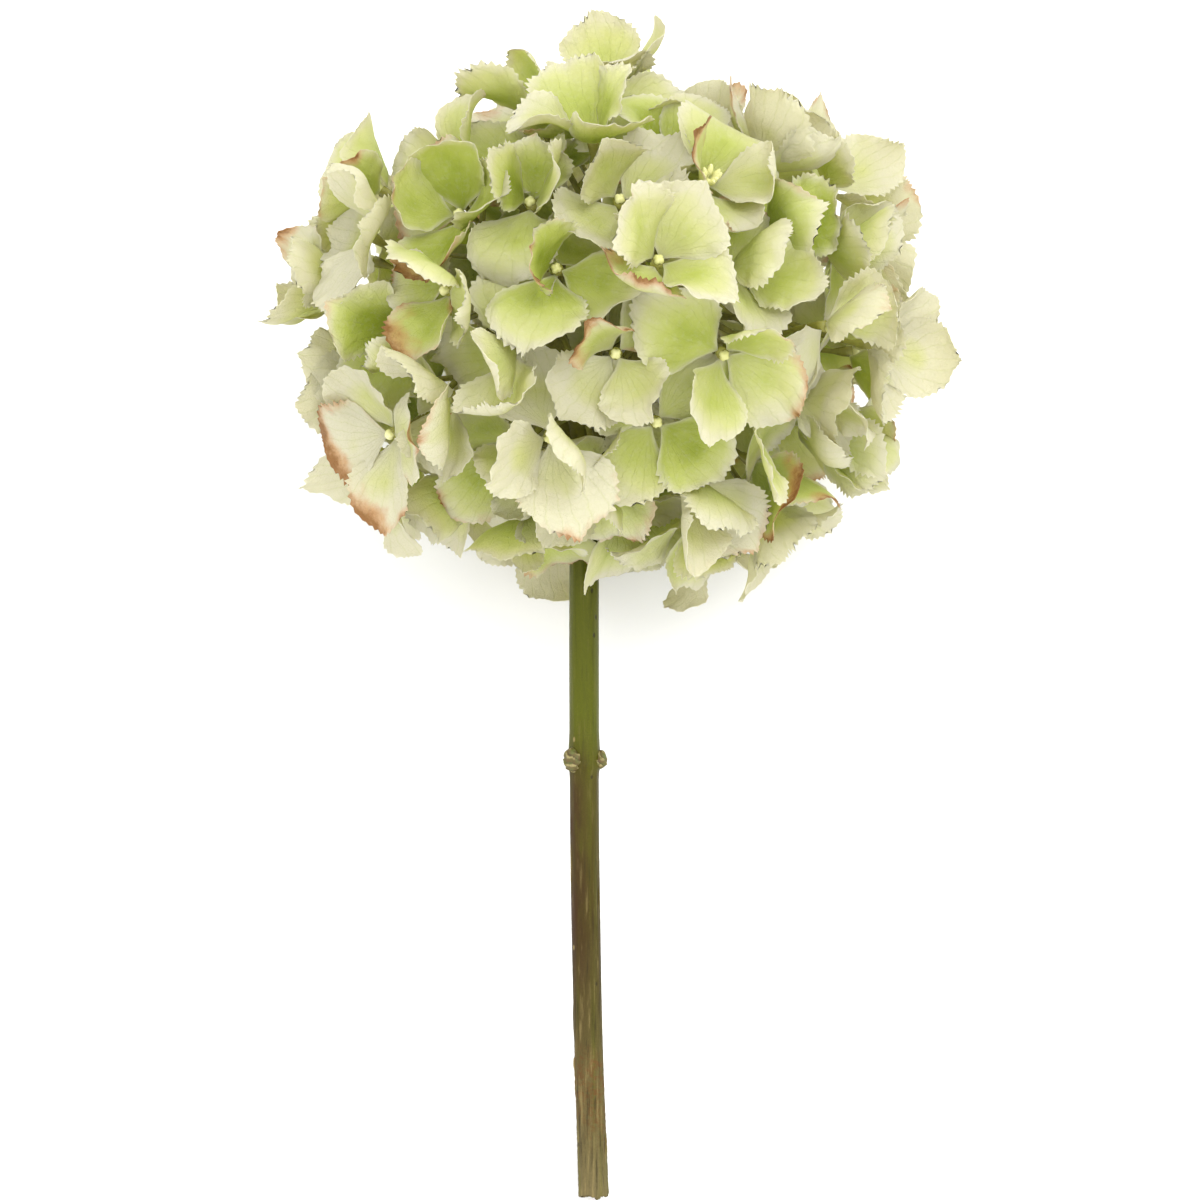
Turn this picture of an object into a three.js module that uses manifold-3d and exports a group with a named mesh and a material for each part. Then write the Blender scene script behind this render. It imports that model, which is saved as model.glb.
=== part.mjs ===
// A cut mophead hydrangea lying on its side: a woody stem with two buds, seven rays that branch
// inside the head, and pairs of four-petalled florets on forked stalks.
// Millimetres. +Z is up, +Y runs along the ground from the cut end towards the head.
import * as THREE from "three";
import Module from "manifold-3d";

const wasm = await Module();
wasm.setup();

// Flower head, measured to the centres of the florets
const headHalfWidth = 74;
const headHalfLength = 63;
const headCentreHeight = 73;
const floorRoom = 11;
const pairCount = 46;
const bareCapAngle = 32;
const layerDepths = [0, 5, 10];
const hollows = [
  { at: 8, depth: 9, spread: 7 },
  { at: 62, depth: 13, spread: 11 },
  { at: 122, depth: 16, spread: 12 },
  { at: 194, depth: 11, spread: 9 },
  { at: 234, depth: 12, spread: 10 },
];

// One floret
const petalLength = 22.5;
const petalWidth = 24;
const petalThickness = 0.6;
const innerPetalShare = 0.88;
const floretLean = 20;
const seatHalfWidth = 1.5;
const seatStorey = 1;
const eyeShare = 0.6;
const neckLength = 7;
const stalkRadius = 0.8;
const forkShare = 0.7;
const forkRootShare = 0.58;

// Stem
const headToCut = 240;
const stemRadius = 4.05;
const stemShift = -6;
const stemBend = 2.6;
const stemBendStart = 110;
const knobDepth = 38;
const knobRadius = 6.4;
const budDepth = 119;
const budLength = 6.4;
const budRadius = 2.4;
const cutRoughness = 0.7;

// Rays
const sideRays = 6;
const hubShare = 0.4;
const rayRadius = 2.1;
const branchRadius = 1.15;

const steepest = 86;
const outerSteepest = 62;
const gap = 0.3;
const facetSize = 0.02;
const petalClearance = 2.6;
const innerClearance = 1.7;

const rad = (degrees) => (degrees * Math.PI) / 180;
const chance = (i, j) => {
  const value = Math.sin(i * 12.9898 + j * 78.233) * 43758.5453;
  return value - Math.floor(value);
};
const between = (i, j, low, high) => low + (high - low) * chance(i, j);
const vec = (x, y, z) => new THREE.Vector3(x, y, z);
const mix = (a, b, share) => a.clone().lerp(b, share);

// The head's own axes: across the stem, along it towards the head, and up out of the ground
const lieAngle = Math.asin((headCentreHeight - stemRadius) / headToCut);
const across = vec(1, 0, 0);
const along = vec(0, Math.cos(lieAngle), Math.sin(lieAngle));
const above = vec(0, -Math.sin(lieAngle), Math.cos(lieAngle));
const turned = (v) =>
  vec(0, 0, 0)
    .addScaledVector(across, v.x)
    .addScaledVector(along, v.y)
    .addScaledVector(above, v.z);
const headCentre = vec(0, 0, headCentreHeight);
const inHead = (v) => turned(v).add(headCentre);

// ---- closed bodies from points and triangles ----
function solid(points, triangles) {
  const make = (faces) =>
    new wasm.Manifold(
      new wasm.Mesh({
        numProp: 3,
        vertProperties: new Float32Array(points.flatMap((p) => [p.x, p.y, p.z])),
        triVerts: new Uint32Array(faces.flat()),
      }),
    );
  const body = make(triangles);
  return body.volume() > 0 ? body : make(triangles.map(([a, b, c]) => [a, c, b]));
}

function sideways(direction) {
  const helper = Math.abs(direction.z) < 0.8 ? vec(0, 0, 1) : vec(1, 0, 0);
  return helper.cross(direction).normalize();
}

// A round rod through the given points, one radius for each
function rod(path, radii, sides, roughEnd = 0) {
  const points = [];
  const triangles = [];
  const last = path.length - 1;
  const start = sideways(path[last].clone().sub(path[0]).normalize());
  path.forEach((centre, ring) => {
    const ahead = path[Math.min(ring + 1, last)].clone();
    const tangent = ahead.sub(path[Math.max(ring - 1, 0)]).normalize();
    const second = tangent.clone().cross(start).normalize();
    const first = second.clone().cross(tangent);
    for (let side = 0; side < sides; side++) {
      const turn = (side / sides) * 2 * Math.PI;
      const spot = centre.clone().addScaledVector(first, radii[ring] * Math.cos(turn));
      spot.addScaledVector(second, radii[ring] * Math.sin(turn));
      if (ring === last) spot.addScaledVector(tangent, roughEnd * (chance(side, 3) - 0.5));
      points.push(spot);
    }
  });
  for (let ring = 0; ring < last; ring++) {
    for (let side = 0; side < sides; side++) {
      const a = ring * sides + side;
      const b = ring * sides + ((side + 1) % sides);
      triangles.push([a, b, b + sides], [a, b + sides, a + sides]);
    }
  }
  for (let side = 1; side < sides - 1; side++) {
    triangles.push([0, side + 1, side]);
    const base = last * sides;
    triangles.push([base, base + side, base + side + 1]);
  }
  return solid(points, triangles);
}

// ---- where the florets sit ----
function headRadius(direction) {
  const oval = 1 / Math.hypot(
    direction.x / headHalfWidth,
    direction.y / headHalfLength,
    direction.z / headHalfWidth,
  );
  const around = (Math.atan2(direction.y, direction.x) * 180) / Math.PI;
  const rim = (1 - direction.z * direction.z) ** 2;
  let dent = 0;
  for (const hollow of hollows) {
    const off = (((around - hollow.at + 900) % 360) - 180) / hollow.spread;
    dent += hollow.depth * Math.exp(-off * off);
  }
  return oval - dent * rim;
}

function floretDirections() {
  const goldenTurn = Math.PI * (3 - Math.sqrt(5));
  const lowest = -Math.cos(rad(bareCapAngle));
  const spacing = Math.sqrt((2 * Math.PI * (1 - lowest)) / (2 * pairCount));
  const spots = [];
  for (let pair = 0; pair < pairCount; pair++) {
    const height = 1 - ((pair + 0.5) / pairCount) * (1 - lowest);
    const ring = Math.sqrt(1 - height * height);
    const turn = pair * goldenTurn;
    const middle = vec(ring * Math.cos(turn), height, ring * Math.sin(turn));
    const side = sideways(middle).applyAxisAngle(middle, between(pair, 1, 0, Math.PI));
    for (const sign of [-1, 1]) {
      spots.push(middle.clone().addScaledVector(side, sign * spacing * 0.45).normalize());
    }
  }
  for (let step = 0; step < 40; step++) {
    const pushes = spots.map((spot, i) => {
      const push = vec(0, 0, 0);
      spots.forEach((other, j) => {
        const apart = spot.distanceTo(other);
        if (i === j) return;
        const away = spot.clone().sub(other).multiplyScalar(1 / apart);
        if (apart < spacing * 1.25) push.addScaledVector(away, (spacing * 1.25 - apart) * 0.2);
        if (j === (i ^ 1) && apart > spacing) push.addScaledVector(away, (spacing - apart) * 0.3);
      });
      return push;
    });
    spots.forEach((spot, i) => {
      spot.add(pushes[i]).normalize();
      if (spot.y < lowest) spot.setY(lowest).normalize();
    });
  }
  return spots;
}

function makeFlorets() {
  return floretDirections().map((direction, i) => {
    const outward = turned(direction);
    let reach = headRadius(direction) - layerDepths[Math.floor(chance(i, 5) * 3)];
    if (outward.z < 0) reach = Math.min(reach, (headCentreHeight - floorRoom) / -outward.z);
    const centre = headCentre.clone().addScaledVector(outward, reach);
    const lean = Math.tan(rad(between(i, 6, 0, floretLean)));
    const side = sideways(outward).applyAxisAngle(outward, between(i, 7, 0, 2 * Math.PI));
    const axis = outward.clone().addScaledVector(side, lean).normalize();
    const spin = between(i, 8, 0, Math.PI / 2);
    const first = sideways(axis).applyAxisAngle(axis, spin);
    return { i, centre, axis, first, outward, reach };
  });
}

// ---- petals ----
function makePetal(floret, k) {
  const id = floret.i * 4 + k;
  const inner = k % 2 === 0;
  const out = floret.first.clone().applyAxisAngle(floret.axis, (k * Math.PI) / 2);
  const root = floret.centre.clone().addScaledVector(out, seatHalfWidth);
  if (inner) root.addScaledVector(floret.axis, seatStorey);
  return {
    floret,
    root,
    out,
    axis: floret.axis,
    faceSide: floret.axis.clone().cross(out),
    length: petalLength * between(id, 1, 0.88, 1.12),
    width: petalWidth * between(id, 2, 0.9, 1.12) * (inner ? innerPetalShare : 1),
    restTilt: between(id, 3, inner ? 16 : 4, inner ? 58 : 44),
    steepest: inner ? steepest : outerSteepest,
    bend: rad(between(id, 4, -30, 42)),
    cup: between(id, 9, 0.3, 4.2),
    curl: between(id, 10, -3.5, 5),
    twist: rad(between(id, 11, -22, 22)),
  };
}

// The way a petal is held: how steeply it rises, how far it swings sideways, how large it grew
function hold(petal, tilt, swing, size) {
  petal.tilt = tilt;
  petal.size = size;
  petal.ahead = petal.out.clone().applyAxisAngle(petal.axis, swing);
  petal.side = petal.axis.clone().cross(petal.ahead);
  return petal;
}

function halfWidthAt(petal, s) {
  return (petal.size * petal.width * Math.sin(Math.PI * s ** 1.16) ** 0.7) / 2;
}

// A point of the petal's middle surface: s runs from root to tip, t from edge to edge
function onPetal(petal, s, t) {
  const { tilt } = petal;
  const lean = tilt + petal.bend * s;
  const bendRadius = (petal.size * petal.length) / petal.bend;
  const outRun = bendRadius * (Math.sin(lean) - Math.sin(tilt));
  const upRun = bendRadius * (Math.cos(tilt) - Math.cos(lean));
  const half = s < 1 ? halfWidthAt(petal, s) : 0;
  const lateral = t * half;
  const cupped = petal.cup * ((2 * lateral) / petal.width) ** 2;
  const curled = petal.curl * (Math.max(0, s - 0.5) * 2) ** 2;
  const turn = petal.twist * s;
  const sideRun = lateral * Math.cos(turn) - (cupped + curled) * Math.sin(turn);
  const offRun = lateral * Math.sin(turn) + (cupped + curled) * Math.cos(turn);
  return petal.root
    .clone()
    .addScaledVector(petal.ahead, outRun - offRun * Math.sin(lean))
    .addScaledVector(petal.axis, upRun + offRun * Math.cos(lean))
    .addScaledVector(petal.side, sideRun);
}

const sampleRows = [0.3, 0.48, 0.66, 0.84, 1];
const sampleColumns = [-0.95, -0.5, 0, 0.5, 0.95];
function petalSamples(petal) {
  const samples = [];
  for (const s of sampleRows) {
    for (const t of s < 1 ? sampleColumns : [0]) {
      samples.push({ at: onPetal(petal, s, t), s, floret: petal.floret.i });
    }
  }
  return samples;
}

// Sorted into cubes so that only near neighbours are compared
const cubes = new Map();
const cubeSize = 6;
const cubeKey = (x, y, z) => (x + 500) * 1e6 + (y + 500) * 1e3 + (z + 500);
const cubeOf = (value) => Math.floor(value / cubeSize);
function remember(samples) {
  for (const sample of samples) {
    const key = cubeKey(cubeOf(sample.at.x), cubeOf(sample.at.y), cubeOf(sample.at.z));
    if (!cubes.has(key)) cubes.set(key, []);
    cubes.get(key).push(sample);
  }
}

// How well a petal at this tilt clears what is already there: 1 is clear, less is not
function clearanceOf(petal, samples) {
  let clearance = 1;
  for (const sample of samples) {
    const lowest = sample.at.z - petalThickness;
    if (lowest < 0) clearance = Math.min(clearance, lowest);
    const [cx, cy, cz] = [cubeOf(sample.at.x), cubeOf(sample.at.y), cubeOf(sample.at.z)];
    for (let x = cx - 1; x <= cx + 1; x++) {
      for (let y = cy - 1; y <= cy + 1; y++) {
        for (let z = cz - 1; z <= cz + 1; z++) {
          for (const other of cubes.get(cubeKey(x, y, z)) ?? []) {
            const own = other.floret === petal.floret.i;
            if (own && (sample.s < 0.48 || other.s < 0.48)) continue;
            const wanted = own ? innerClearance : petalClearance;
            clearance = Math.min(clearance, sample.at.distanceTo(other.at) / wanted);
          }
        }
      }
    }
  }
  return clearance;
}

// The petal's flat facets: its rim, then the same rim on the under side
function petalSheet(petal, grow) {
  const spots = [[0.62, -1], [0.88, -1], [1, 0], [0.88, 1], [0.62, 1]];
  const rim = spots.map(([s, t]) => onPetal(petal, s, t));
  const middle = mix(petal.root, rim[2], 0.55);
  const lengthwise = rim[2].clone().sub(petal.root);
  const lift = lengthwise.cross(rim[4].clone().sub(rim[0])).setLength(petalThickness / 2 + grow);
  const sheet = rim.map((spot) => spot.clone().add(spot.clone().sub(middle).setLength(grow)));
  return [...sheet.map((p) => p.clone().add(lift)), ...sheet.map((p) => p.clone().sub(lift))];
}

// Triangles of a petal whose root edge is top left, top right, under left, under right
function petalTriangles([topLeft, topRight, underLeft, underRight], first) {
  const top = [topLeft, first, first + 1, first + 2, first + 3, first + 4, topRight];
  const under = [underLeft, first + 5, first + 6, first + 7, first + 8, first + 9, underRight];
  const triangles = [];
  for (let edge = 0; edge < 6; edge++) {
    const [a, b, c, d] = [top[edge], top[edge + 1], under[edge], under[edge + 1]];
    triangles.push([a, c, d], [a, d, b]);
  }
  for (const [a, b, c] of [[0, 1, 6], [1, 5, 6], [1, 2, 5], [2, 4, 5], [2, 3, 4]]) {
    triangles.push([top[a], top[b], top[c]], [under[a], under[c], under[b]]);
  }
  return triangles;
}

// One petal as a body of its own, to see whether it would cut through another
function loosePetal(petal, grow, sunk = 0) {
  const slim = sunk > 0 ? 0.8 : 1;
  const corners = [[-1, 1], [1, 1], [-1, -1], [1, -1]].map(([sideShare, upShare]) =>
    petal.root
      .clone()
      .addScaledVector(petal.out, -sunk)
      .addScaledVector(petal.faceSide, sideShare * seatHalfWidth * slim)
      .addScaledVector(petal.axis, (upShare * seatStorey * slim) / 2),
  );
  const triangles = [[0, 1, 3], [0, 3, 2], ...petalTriangles([0, 1, 2, 3], 4)];
  return solid([...corners, ...petalSheet(petal, grow)], triangles);
}

// A floret as one body: a square stalk that swells to a seat, with a petal drawn from each side
function floretBody(floret, shaft) {
  const path = [...shaft, ...seatPath(floret)];
  const shaftWidths = shaft.map((spot, ring) => stalkRadius * (shaft.length - ring > 1 ? 1.3 : 1));
  const seatWidths = [stalkRadius, seatHalfWidth, seatHalfWidth, seatHalfWidth * eyeShare];
  const widths = [...shaftWidths, ...seatWidths];
  const underStorey = shaft.length + 1;
  const points = [];
  path.forEach((centre, ring) => {
    const below = ring < underStorey;
    const tangent = below ? path[ring + 1].clone().sub(centre).normalize() : floret.axis;
    const first = floret.first.clone();
    first.addScaledVector(tangent, -first.dot(tangent)).normalize();
    const second = tangent.clone().cross(first);
    for (let corner = 0; corner < 4; corner++) {
      const turn = (corner - 0.5) * (Math.PI / 2);
      const far = widths[ring] * Math.SQRT2;
      const spot = centre.clone().addScaledVector(first, far * Math.cos(turn));
      points.push(spot.addScaledVector(second, far * Math.sin(turn)));
    }
  });
  const triangles = [];
  for (let ring = 0; ring + 1 < path.length; ring++) {
    for (let side = 0; side < 4; side++) {
      const left = ring * 4 + side;
      const right = ring * 4 + ((side + 1) % 4);
      const storey = side % 2 === 0 ? underStorey + 1 : underStorey;
      const petal = petals[floret.i][side];
      if (ring === storey && !petal.crossed) {
        const sheet = petalSheet(petal, 0);
        triangles.push(...petalTriangles([left + 4, right + 4, left, right], points.length));
        points.push(...sheet);
      } else {
        triangles.push([left + 4, left, right], [left + 4, right, right + 4]);
      }
    }
  }
  const top = (path.length - 1) * 4;
  triangles.push([0, 3, 1], [1, 3, 2], [top, top + 1, top + 3], [top + 1, top + 2, top + 3]);
  const crossed = petals[floret.i].filter((petal) => petal.crossed);
  const sunk = seatHalfWidth * 0.4;
  return wasm.Manifold.union([
    solid(points, triangles),
    ...crossed.map((petal) => loosePetal(petal, 0, sunk)),
  ]);
}

const boxesMeet = (a, b) => [0, 1, 2].every((n) => a.min[n] < b.max[n] && b.min[n] < a.max[n]);
const obstacles = [];
function block(body, floret, isPetal) {
  obstacles.push({ body, box: body.boundingBox(), floret, isPetal });
}
// Whether a petal cuts through the other petals of its own floret, or through anything else
function cutting(petal) {
  const body = loosePetal(petal, gap);
  const box = body.boundingBox();
  const found = { own: false, other: false };
  for (const obstacle of obstacles) {
    const own = obstacle.floret === petal.floret.i;
    if ((own && !obstacle.isPetal) || !boxesMeet(box, obstacle.box)) continue;
    const tested = own ? loosePetal(petal, 0.05) : body;
    if (tested.intersect(obstacle.body).volume() > 0.001) found[own ? "own" : "other"] = true;
  }
  return found;
}

// Each petal in turn takes the hold nearest its own that clears the petals already there
const tiltStep = 6;
const tiltTries = 25;
const flattest = -62;
const swings = [0, 9, -9];
const sizes = [1, 0.86, 0.74, 0.62];
const ownPenalty = 0.4;
function settle(petal) {
  let best = { clearance: -Infinity };
  for (const size of sizes) {
    const goodEnough = size < sizes[1] ? 1 - ownPenalty : 1;
    for (let attempt = 0; attempt < tiltTries; attempt++) {
      const step = Math.ceil(attempt / 2) * (attempt % 2 ? 1 : -1);
      const degrees = petal.restTilt + step * tiltStep;
      if (degrees > petal.steepest || degrees < flattest) continue;
      for (const swing of swings) {
        if (best.clearance >= goodEnough) break;
        const samples = petalSamples(hold(petal, rad(degrees), rad(swing), size));
        let clearance = clearanceOf(petal, samples);
        if (clearance <= best.clearance) continue;
        const { own, other } = cutting(petal);
        clearance -= (own ? ownPenalty : 0) + (other ? 1 : 0);
        if (clearance > best.clearance) best = { clearance, samples, degrees, swing, size, own };
      }
    }
  }
  hold(petal, rad(best.degrees), rad(best.swing), best.size).crossed = best.own;
  remember(best.samples);
  block(loosePetal(petal, 0), petal.floret.i, true);
}

// ---- stalks and rays ----
function seatPath(floret) {
  const heights = [-neckLength, -seatStorey / 2, seatStorey / 2, seatStorey * 1.5];
  return heights.map((height) => floret.centre.clone().addScaledVector(floret.axis, height));
}

function rodSamples(path, floret) {
  const samples = [];
  for (let ring = 0; ring + 1 < path.length; ring++) {
    const steps = Math.ceil(path[ring].distanceTo(path[ring + 1]) / 3);
    for (let step = 0; step < steps; step++) {
      samples.push({ at: mix(path[ring], path[ring + 1], step / steps), s: 0, floret });
    }
  }
  return samples;
}

const florets = makeFlorets();
const pairs = [];
for (let pair = 0; pair < pairCount; pair++) {
  const both = [florets[2 * pair], florets[2 * pair + 1]];
  const middle = mix(both[0].centre, both[1].centre, 0.5);
  const fork = mix(headCentre, middle, forkShare);
  const root = mix(headCentre, middle, forkRootShare);
  pairs.push({ pair, both, fork, root, direction: middle.sub(headCentre).normalize() });
}

const knob = inHead(vec(stemShift, -knobDepth, 0));
const rays = [];
for (let ray = 0; ray <= sideRays; ray++) {
  const turn = rad(((ray - 1) * 360) / sideRays);
  const direction = ray === 0 ? vec(0, 1, 0) : vec(Math.cos(turn), 0.1, Math.sin(turn)).normalize();
  const hub = inHead(direction.clone().multiplyScalar(headRadius(direction) * hubShare));
  if (ray === 0) hub.lerp(headCentre, 0.3);
  rays.push({ ray, direction: turned(direction), hub, pairs: [] });
}
for (const pair of pairs) {
  const closeness = (ray) => ray.direction.dot(pair.direction) + (ray.ray === 0 ? 0.05 : 0);
  rays.reduce((a, b) => (closeness(a) > closeness(b) ? a : b)).pairs.push(pair);
}

function rayRods(ray) {
  const direction = ray.hub.clone().sub(knob).normalize();
  const start = knob.clone().addScaledVector(direction, knobRadius + gap);
  const hubEnd = ray.hub.clone().addScaledVector(direction, branchRadius);
  const rods = [{ path: [start, hubEnd], radii: [rayRadius * 1.1, rayRadius], sides: 5 }];
  for (const pair of ray.pairs) {
    const reach = pair.root.clone().sub(ray.hub);
    const end = pair.root.clone().addScaledVector(reach.normalize(), -gap);
    rods.push({ path: [ray.hub, end], radii: [branchRadius * 1.25, branchRadius], sides: 4 });
  }
  return rods;
}

for (const pair of pairs) {
  remember(rodSamples([pair.root, pair.fork], -1));
  block(rod([pair.root, pair.fork], [stalkRadius, stalkRadius], 4), -1, false);
  for (const floret of pair.both) {
    const path = [pair.fork, ...seatPath(floret)];
    remember(rodSamples(path, floret.i));
    block(rod(path, path.map(() => seatHalfWidth), 4), floret.i, false);
  }
}
for (const ray of rays) {
  for (const { path, radii, sides } of rayRods(ray)) {
    remember(rodSamples(path, -1));
    block(rod(path, radii, sides), -1, false);
  }
}
const petals = florets.map((floret) => [0, 1, 2, 3].map((k) => makePetal(floret, k)));
for (const four of petals) [1, 3, 0, 2].forEach((k) => settle(four[k]));

function rayBody(ray, grow) {
  return wasm.Manifold.union(
    rayRods(ray).map(({ path, radii, sides }) => rod(path, radii.map((radius) => radius + grow), sides)),
  );
}

function pairBody(pair) {
  const [first, second] = pair.both;
  return floretBody(first, [pair.root, pair.fork]).add(floretBody(second, [pair.fork]));
}

// The same pair swollen by the gap, in plain overlapping pieces, for cutting back its neighbours
function pairSpace(pair) {
  const thick = stalkRadius * 1.3 * Math.SQRT2 + gap;
  const seat = seatHalfWidth * Math.SQRT2 + gap;
  const spaces = [rod([pair.root, pair.fork], [thick, thick], 8)];
  for (const floret of pair.both) {
    const path = [pair.fork, ...seatPath(floret)];
    spaces.push(rod(path.slice(0, 3), [thick, thick, seat], 8));
    spaces.push(rod(path.slice(2), [seat, seat, seat], 8));
    for (const petal of petals[floret.i]) spaces.push(loosePetal(petal, gap));
  }
  return wasm.Manifold.union(spaces);
}

// ---- stem and buds ----
function stemSpot(depth) {
  const late = Math.max(0, (depth - stemBendStart) / (headToCut - stemBendStart));
  return inHead(vec(stemShift + stemBend * late * late, -depth, 0));
}

function stemBody(grow) {
  const rings = [
    { depth: knobDepth - knobRadius - grow, radius: knobRadius * 0.45 },
    { depth: knobDepth - knobRadius * 0.6, radius: knobRadius * 0.85 },
    { depth: knobDepth, radius: knobRadius },
    { depth: knobDepth + knobRadius * 0.9, radius: stemRadius * 1.12 },
    { depth: knobDepth + knobRadius * 2.5, radius: stemRadius },
    { depth: budDepth - 7, radius: stemRadius },
    { depth: budDepth, radius: stemRadius * 1.1 },
    { depth: budDepth + 6, radius: stemRadius },
    { depth: (budDepth + headToCut) / 2, radius: stemRadius * 0.97 },
    { depth: headToCut - 25, radius: stemRadius * 0.98 },
    { depth: headToCut + grow, radius: stemRadius },
  ];
  return rod(
    rings.map((ring) => stemSpot(ring.depth)),
    rings.map((ring) => ring.radius + grow),
    14,
    cutRoughness,
  );
}

function budBody(side, length, radius) {
  const outward = turned(vec(side * Math.cos(rad(25)), 0, Math.sin(rad(25))));
  const seat = stemSpot(budDepth).addScaledVector(outward, stemRadius + radius * 0.35);
  const shape = [-0.5, -0.3, 0, 0.28, 0.5];
  const girth = [0.45, 0.9, 1, 0.7, 0.15];
  const path = shape.map((share) => seat.clone().addScaledVector(along, share * length));
  path.forEach((spot, ring) => spot.addScaledVector(outward, shape[ring] * radius * 0.5));
  return rod(path, girth.map((share) => share * radius), 8);
}

// ---- put together, each piece cut back to leave a gap beside the ones before it ----
const stemColour = new THREE.MeshStandardMaterial({ color: 0x676232, roughness: 0.6 });
const budColour = new THREE.MeshStandardMaterial({ color: 0x7a6a38, roughness: 0.7 });
const rayColour = new THREE.MeshStandardMaterial({ color: 0x7e8440, roughness: 0.6 });
const petalColour = new THREE.MeshStandardMaterial({ color: 0xc6cb88, roughness: 0.5 });
const pieces = [
  { name: "stem", body: (grow) => stemBody(grow), colour: stemColour },
  { name: "bud_left", body: () => budBody(-1, budLength, budRadius), colour: budColour },
  { name: "bud_right", body: () => budBody(1, budLength * 0.85, budRadius * 0.85), colour: budColour },
  ...rays.map((ray) => ({
    name: `ray_${ray.ray + 1}`,
    body: (grow) => rayBody(ray, grow),
    colour: rayColour,
  })),
  ...pairs.map((pair) => ({
    name: `floret_pair_${String(pair.pair + 1).padStart(2, "0")}`,
    body: (grow) => (grow > 0 ? pairSpace(pair) : pairBody(pair)),
    colour: petalColour,
  })),
];

const biggest = (body) =>
  body.decompose().reduce((a, b) => (a.volume() > b.volume() ? a : b));

const hydrangea = new THREE.Group();
const placed = [];
for (const piece of pieces) {
  let body = piece.body(0);
  for (const earlier of placed) {
    if (boxesMeet(body.boundingBox(), earlier.boundingBox())) body = body.subtract(earlier);
  }
  body = biggest(body).simplify(facetSize);
  placed.push(piece.body(gap));
  const mesh = body.getMesh();
  const geometry = new THREE.BufferGeometry();
  geometry.setAttribute("position", new THREE.BufferAttribute(mesh.vertProperties, 3));
  geometry.setIndex(new THREE.BufferAttribute(mesh.triVerts, 1));
  geometry.computeVertexNormals();
  const part = new THREE.Mesh(geometry, piece.colour);
  part.name = piece.name;
  hydrangea.add(part);
}
const bounds = new THREE.Box3().setFromObject(hydrangea);
const middle = bounds.getCenter(vec(0, 0, 0));
hydrangea.position.set(-middle.x, -middle.y, -bounds.min.z);

export default hydrangea;
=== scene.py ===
import math

import bpy
import numpy as np
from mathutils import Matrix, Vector


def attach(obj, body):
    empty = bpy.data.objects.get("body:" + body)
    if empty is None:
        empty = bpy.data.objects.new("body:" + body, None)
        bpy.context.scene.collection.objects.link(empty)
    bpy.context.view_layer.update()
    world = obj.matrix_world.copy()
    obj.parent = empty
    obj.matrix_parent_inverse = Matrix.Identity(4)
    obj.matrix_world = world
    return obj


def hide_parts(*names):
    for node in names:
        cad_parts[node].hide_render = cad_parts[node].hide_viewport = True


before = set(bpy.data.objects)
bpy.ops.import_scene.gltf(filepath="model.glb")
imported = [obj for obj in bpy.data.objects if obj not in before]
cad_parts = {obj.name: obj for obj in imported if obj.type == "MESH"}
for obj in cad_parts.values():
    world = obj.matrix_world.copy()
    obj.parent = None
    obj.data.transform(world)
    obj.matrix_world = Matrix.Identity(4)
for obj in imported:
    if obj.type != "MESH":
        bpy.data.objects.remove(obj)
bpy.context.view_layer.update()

mm = 0.001
print("frame loaded:", len(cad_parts), "nodes")

# the flower head as the frame lays it out, in millimetres and degrees
head = {
    "halfWidth": 74, "halfLength": 63, "centreHeight": 73, "floorRoom": 11,
    "pairs": 46, "bareCap": 32, "layers": (0, 5, 10), "lean": 20,
    "forkShare": 0.7, "forkRootShare": 0.58, "rootOverlap": 0.012,
    # how the florets are pushed apart: rounds, reach and strength, and the pull between a pair
    "rounds": 40, "reach": 1.25, "push": 0.2, "pull": 0.3, "pairGap": 0.45,
    # hollows between the lobes: where round the outline, how deep, how wide
    "hollows": ((8, 9, 7), (62, 13, 11), (122, 16, 12), (194, 11, 9), (234, 12, 10)),
}
shoot = {
    "headToCut": 240, "radius": 4.05, "shift": -6, "bend": 2.6, "bendStart": 110,
    "knobDepth": 38, "knobRadius": 6.4,
}


def deselect():
    bpy.ops.object.select_all(action="DESELECT")


def pick(piece):
    deselect()
    piece.select_set(True)
    bpy.context.view_layer.objects.active = piece


def spotsOf(mesh):
    spots = np.zeros(len(mesh.vertices) * 3)
    mesh.vertices.foreach_get("co", spots)
    return spots.reshape(-1, 3)


def setSpots(mesh, spots):
    mesh.vertices.foreach_set("co", np.ascontiguousarray(spots, dtype=np.float32).ravel())
    mesh.update()


def giveValues(piece, name, values):
    layers = piece.data.attributes
    layer = layers.get(name) or layers.new(name, "FLOAT", "POINT")
    layer.data.foreach_set("value", np.ascontiguousarray(values, dtype=np.float32))


def mergeSpots(piece, distance):
    pick(piece)
    bpy.ops.object.mode_set(mode="EDIT")
    bpy.ops.mesh.select_all(action="SELECT")
    bpy.ops.mesh.remove_doubles(threshold=distance)
    bpy.ops.object.mode_set(mode="OBJECT")


def copyOf(piece, name):
    twin = piece.copy()
    twin.data = piece.data.copy()
    twin.name = name
    bpy.context.collection.objects.link(twin)
    return twin


# the same two numbers always give the same chance, from 0 to 1
firstBeat, secondBeat, scatter = 12.9898, 78.233, 43758.5453


def chance(i, j):
    value = math.sin(i * firstBeat + j * secondBeat) * scatter
    return value - math.floor(value)


def chances(i, j):
    value = np.sin(i * firstBeat + j * secondBeat) * scatter
    return value - np.floor(value)


def between(i, j, low, high):
    return low + (high - low) * chance(i, j)


def unit(v):
    return v / np.linalg.norm(v)


def turnAbout(v, axis, angle):
    axis = unit(axis)
    return (v * math.cos(angle) + np.cross(axis, v) * math.sin(angle)
            + axis * np.dot(axis, v) * (1 - math.cos(angle)))


def sideways(direction):
    helper = (0, 0, 1) if abs(direction[2]) < 0.8 else (1, 0, 0)
    return unit(np.cross(helper, direction))


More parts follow.
